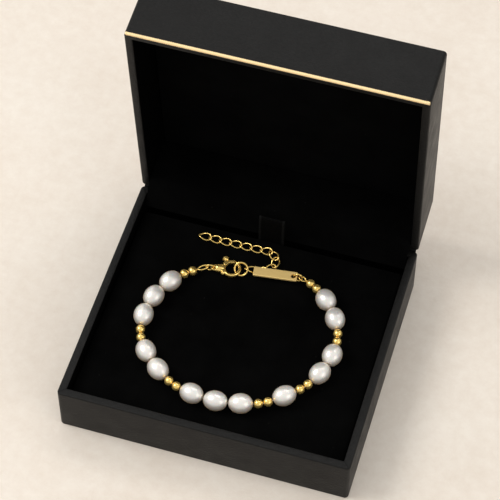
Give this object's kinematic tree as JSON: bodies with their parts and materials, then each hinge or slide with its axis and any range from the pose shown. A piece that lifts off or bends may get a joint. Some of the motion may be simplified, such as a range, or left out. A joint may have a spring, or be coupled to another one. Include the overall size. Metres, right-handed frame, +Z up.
{
  "type": "pearl bracelet in a hinged presentation box",
  "caption": "Bracelet of oval pearls and small gold beads with a lobster clasp, tag plate and extender chain, lying on the pad of an open hinged presentation box with a ribbon pull tab.",
  "frame": {"origin": "middle of the underside of the box's base", "axes": "+Z up out of the box, +Y towards the lid's hinge, +X to the right as seen from the front; the lid's hinge line is parallel to X"},
  "size_m": [0.095, 0.1049, 0.1048],
  "materials": {
    "leatherette": "fine-grained, satin",
    "velvet": "matte pile",
    "ribbon": "satin weave",
    "gold_line": "satin, finely twisted",
    "pearl": "satin lustre",
    "gold": "polished",
    "brushed_gold": "brushed satin",
    "thread": "silk"
  },
  "bodies": {
    "case": {"tray": "leatherette", "pad": "velvet", "hinge_lining": "velvet", "pull_tab": "ribbon", "pearl_01": "pearl", "pearl_02": "pearl", "pearl_03": "pearl", "pearl_04": "pearl", "pearl_05": "pearl", "pearl_06": "pearl", "pearl_07": "pearl", "pearl_08": "pearl", "pearl_09": "pearl", "pearl_10": "pearl", "pearl_11": "pearl", "pearl_12": "pearl", "pearl_13": "pearl", "gold_bead_01": "gold", "gold_bead_02": "gold", "gold_bead_03": "gold", "gold_bead_04": "gold", "gold_bead_05": "gold", "gold_bead_06": "gold", "gold_bead_07": "gold", "gold_bead_08": "gold", "gold_bead_09": "gold", "gold_bead_10": "gold", "gold_bead_11": "gold", "gold_bead_12": "gold", "gold_bead_13": "gold", "gold_bead_14": "gold", "thread": "thread", "end_loop_left": "gold", "end_loop_right": "gold", "jump_ring": "gold", "clasp_body": "gold", "catch_ring": "gold", "tag_plate": "brushed_gold", "tag_ring": "gold", "extender_link_01": "gold", "extender_link_02": "gold", "extender_link_03": "gold", "extender_link_04": "gold", "extender_link_05": "gold", "extender_link_06": "gold", "extender_link_07": "gold", "extender_link_08": "gold", "extender_link_09": "gold", "extender_link_10": "gold", "extender_link_11": "gold", "extender_link_12": "gold"},
    "lid": {"lid_shell": "leatherette", "lid_panel": "velvet", "lid_lining": "velvet", "gold_line": "gold_line"},
    "lever": {"clasp_lever": "gold"}
  },
  "joints": [
    {"name": "lid_hinge", "type": "hinge", "parent": "case", "child": "lid", "pos_m": [0, 0.0425, 0.0185], "axis": [1, 0, 0], "range_deg": [0, 85]},
    {"name": "clasp_trigger", "type": "hinge", "parent": "case", "child": "lever", "pos_m": [-0.01186, 0.0214, 0.0158], "axis": [0, 0, -1], "range_deg": [0, 20], "stiffness_Nm_per_rad": 0.002, "springref_deg": -5.73}
  ]
}
